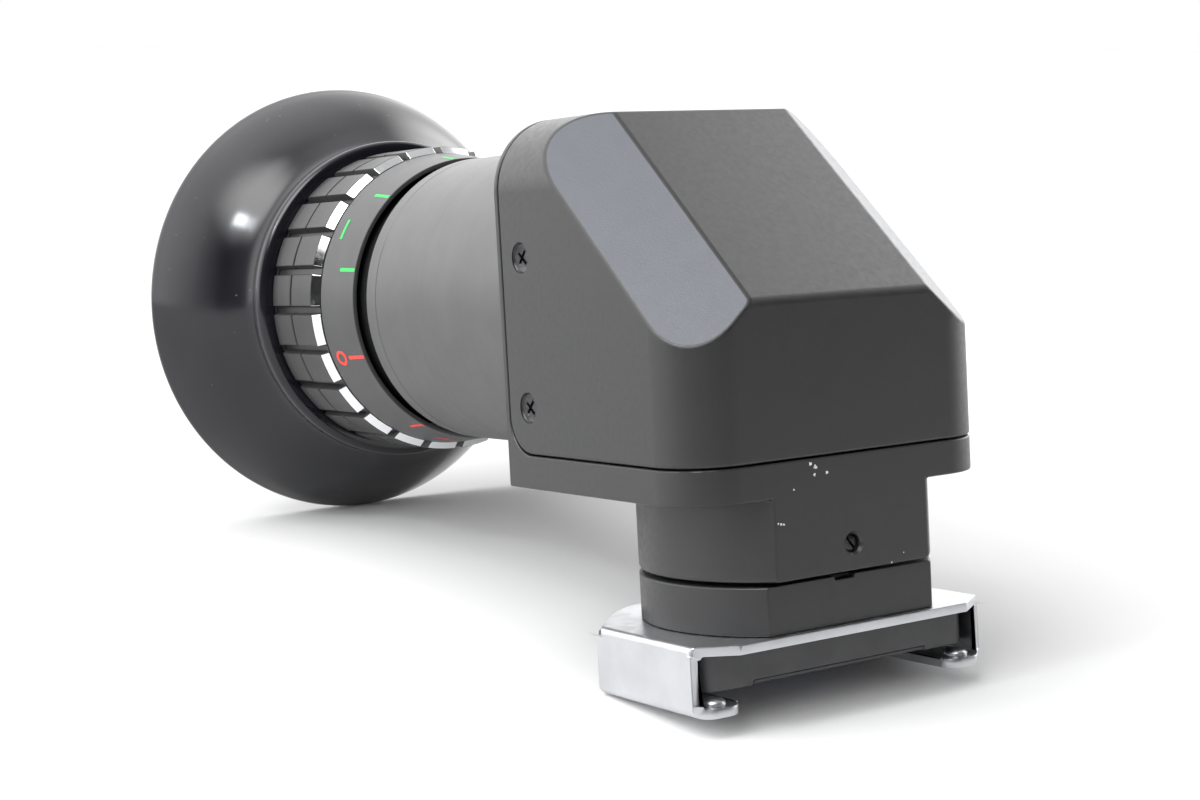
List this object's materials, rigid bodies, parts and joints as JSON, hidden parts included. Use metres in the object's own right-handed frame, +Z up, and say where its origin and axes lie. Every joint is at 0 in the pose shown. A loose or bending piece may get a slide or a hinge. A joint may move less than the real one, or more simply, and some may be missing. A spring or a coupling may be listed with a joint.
{
  "type": "right-angle viewfinder attachment",
  "caption": "Right-angle finder with a slide-on channel shoe, a swivel neck, a prism housing, a dioptre ring and a flared rubber eyecup.",
  "frame": {"origin": "on the swivel axis, in the plane where the shoe's seat meets the camera, at the middle of the entrance window's outer face", "axes": "+Z up the neck away from the camera, +Y along the eyepiece towards the eye, +X to the right seen from the front face"},
  "size_m": [0.045, 0.084, 0.0531],
  "materials": {
    "bracket_silver": "satin nickel plate",
    "black_paint": "fine satin black paint",
    "black_anodised": "satin black anodised, turned",
    "seat_black": "satin moulded black",
    "dark_steel": "blackened steel",
    "spring_steel": "bright spring steel",
    "grip_metal": "black anodised pads with bright-cut front chamfers",
    "eyecup_rubber": "smooth semi-gloss black",
    "brass": "turned",
    "glass": "coated optical glass"
  },
  "bodies": {
    "shoe": {"shoe_bracket": "bracket_silver", "seat_frame": "seat_black", "entrance_window": "glass", "window_ring": "dark_steel", "swivel_collar": "black_paint", "leaf_spring_left": "spring_steel", "leaf_spring_right": "spring_steel", "stop_rivet_left": "bracket_silver", "stop_rivet_right": "bracket_silver", "collar_screw_left_front": "dark_steel", "collar_screw_left_rear": "dark_steel", "collar_screw_right_front": "dark_steel", "collar_screw_right_rear": "dark_steel"},
    "housing": {"base_casting": "black_paint", "prism_cover": "black_paint", "cover_screw_left_lower": "dark_steel", "cover_screw_left_upper": "dark_steel", "cover_screw_right_lower": "dark_steel", "cover_screw_right_upper": "dark_steel", "clamp_screw_left": "spring_steel", "clamp_screw_right": "spring_steel", "grub_screw": "dark_steel", "click_ball": "spring_steel", "click_spring": "spring_steel", "objective_cell": "black_anodised", "objective_lens": "glass", "prism": "glass", "prism_seat": "seat_black", "prism_clamp": "spring_steel", "barrel": "black_anodised", "barrel_nut": "brass", "field_stop": "black_anodised", "key_pin": "spring_steel"},
    "cell": {"lens_cell": "black_anodised", "field_lens": "glass", "lens_spacer": "black_anodised", "eye_lens": "glass", "cell_ring": "dark_steel"},
    "dioptre_ring": {"helicoid_ring": "brass", "scale_ring": "black_anodised", "grip_ring": "grip_metal", "ring_retainer": "dark_steel", "eyecup": "eyecup_rubber"}
  },
  "joints": [
    {"name": "swivel", "type": "hinge", "parent": "shoe", "child": "housing", "pos_m": [0, 0, 0.0077], "axis": [0, 0, 1], "continuous": true},
    {"name": "dioptre_travel", "type": "slide", "parent": "housing", "child": "cell", "axis": [0, 1, 0], "range_m": [-0.00166, 0.00124]},
    {"name": "dioptre_turn", "type": "hinge", "parent": "cell", "child": "dioptre_ring", "pos_m": [0, 0.05, 0.02885], "axis": [0, 1, 0], "range_deg": [-100, 75]}
  ],
  "couplings": [
    {"joint": "dioptre_turn", "follows": "dioptre_travel", "rad_per_m": 1047.2}
  ]
}
